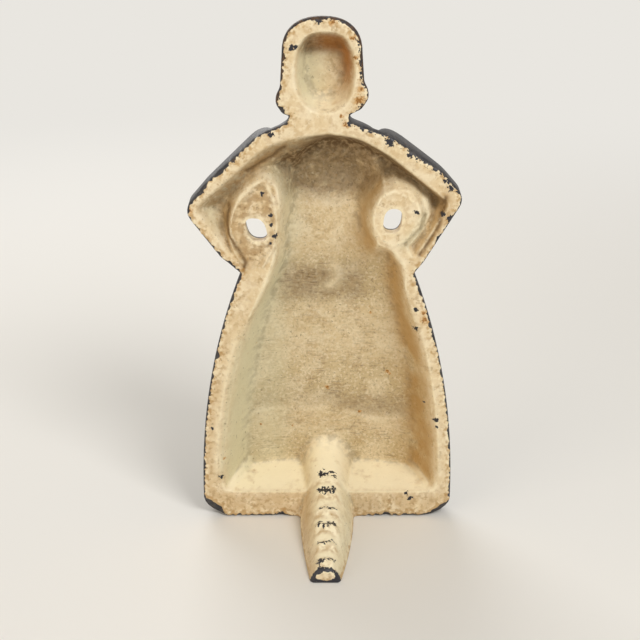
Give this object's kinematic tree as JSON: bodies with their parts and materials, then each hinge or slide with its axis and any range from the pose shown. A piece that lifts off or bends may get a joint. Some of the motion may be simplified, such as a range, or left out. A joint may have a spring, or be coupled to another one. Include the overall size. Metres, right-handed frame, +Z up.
{
  "type": "doorstop",
  "caption": "Hollow-backed cast iron doorstop: a standing woman in a long skirt, hands on her hips, with a ridged tongue at the back that is pushed under the door.",
  "frame": {"origin": "on the underside, below the middle of the rim's flat back", "axes": "-Y is the way the figure faces, +Y is the way the hollow opens and the tongue runs, +Z is up"},
  "size_m": [0.1093, 0.0793, 0.2163],
  "materials": {
    "painted_iron": "rough iron casting under old worn oil paint, ivory at the back"
  },
  "bodies": {
    "root": {"doorstop_casting": "painted_iron"}
  },
  "joints": []
}
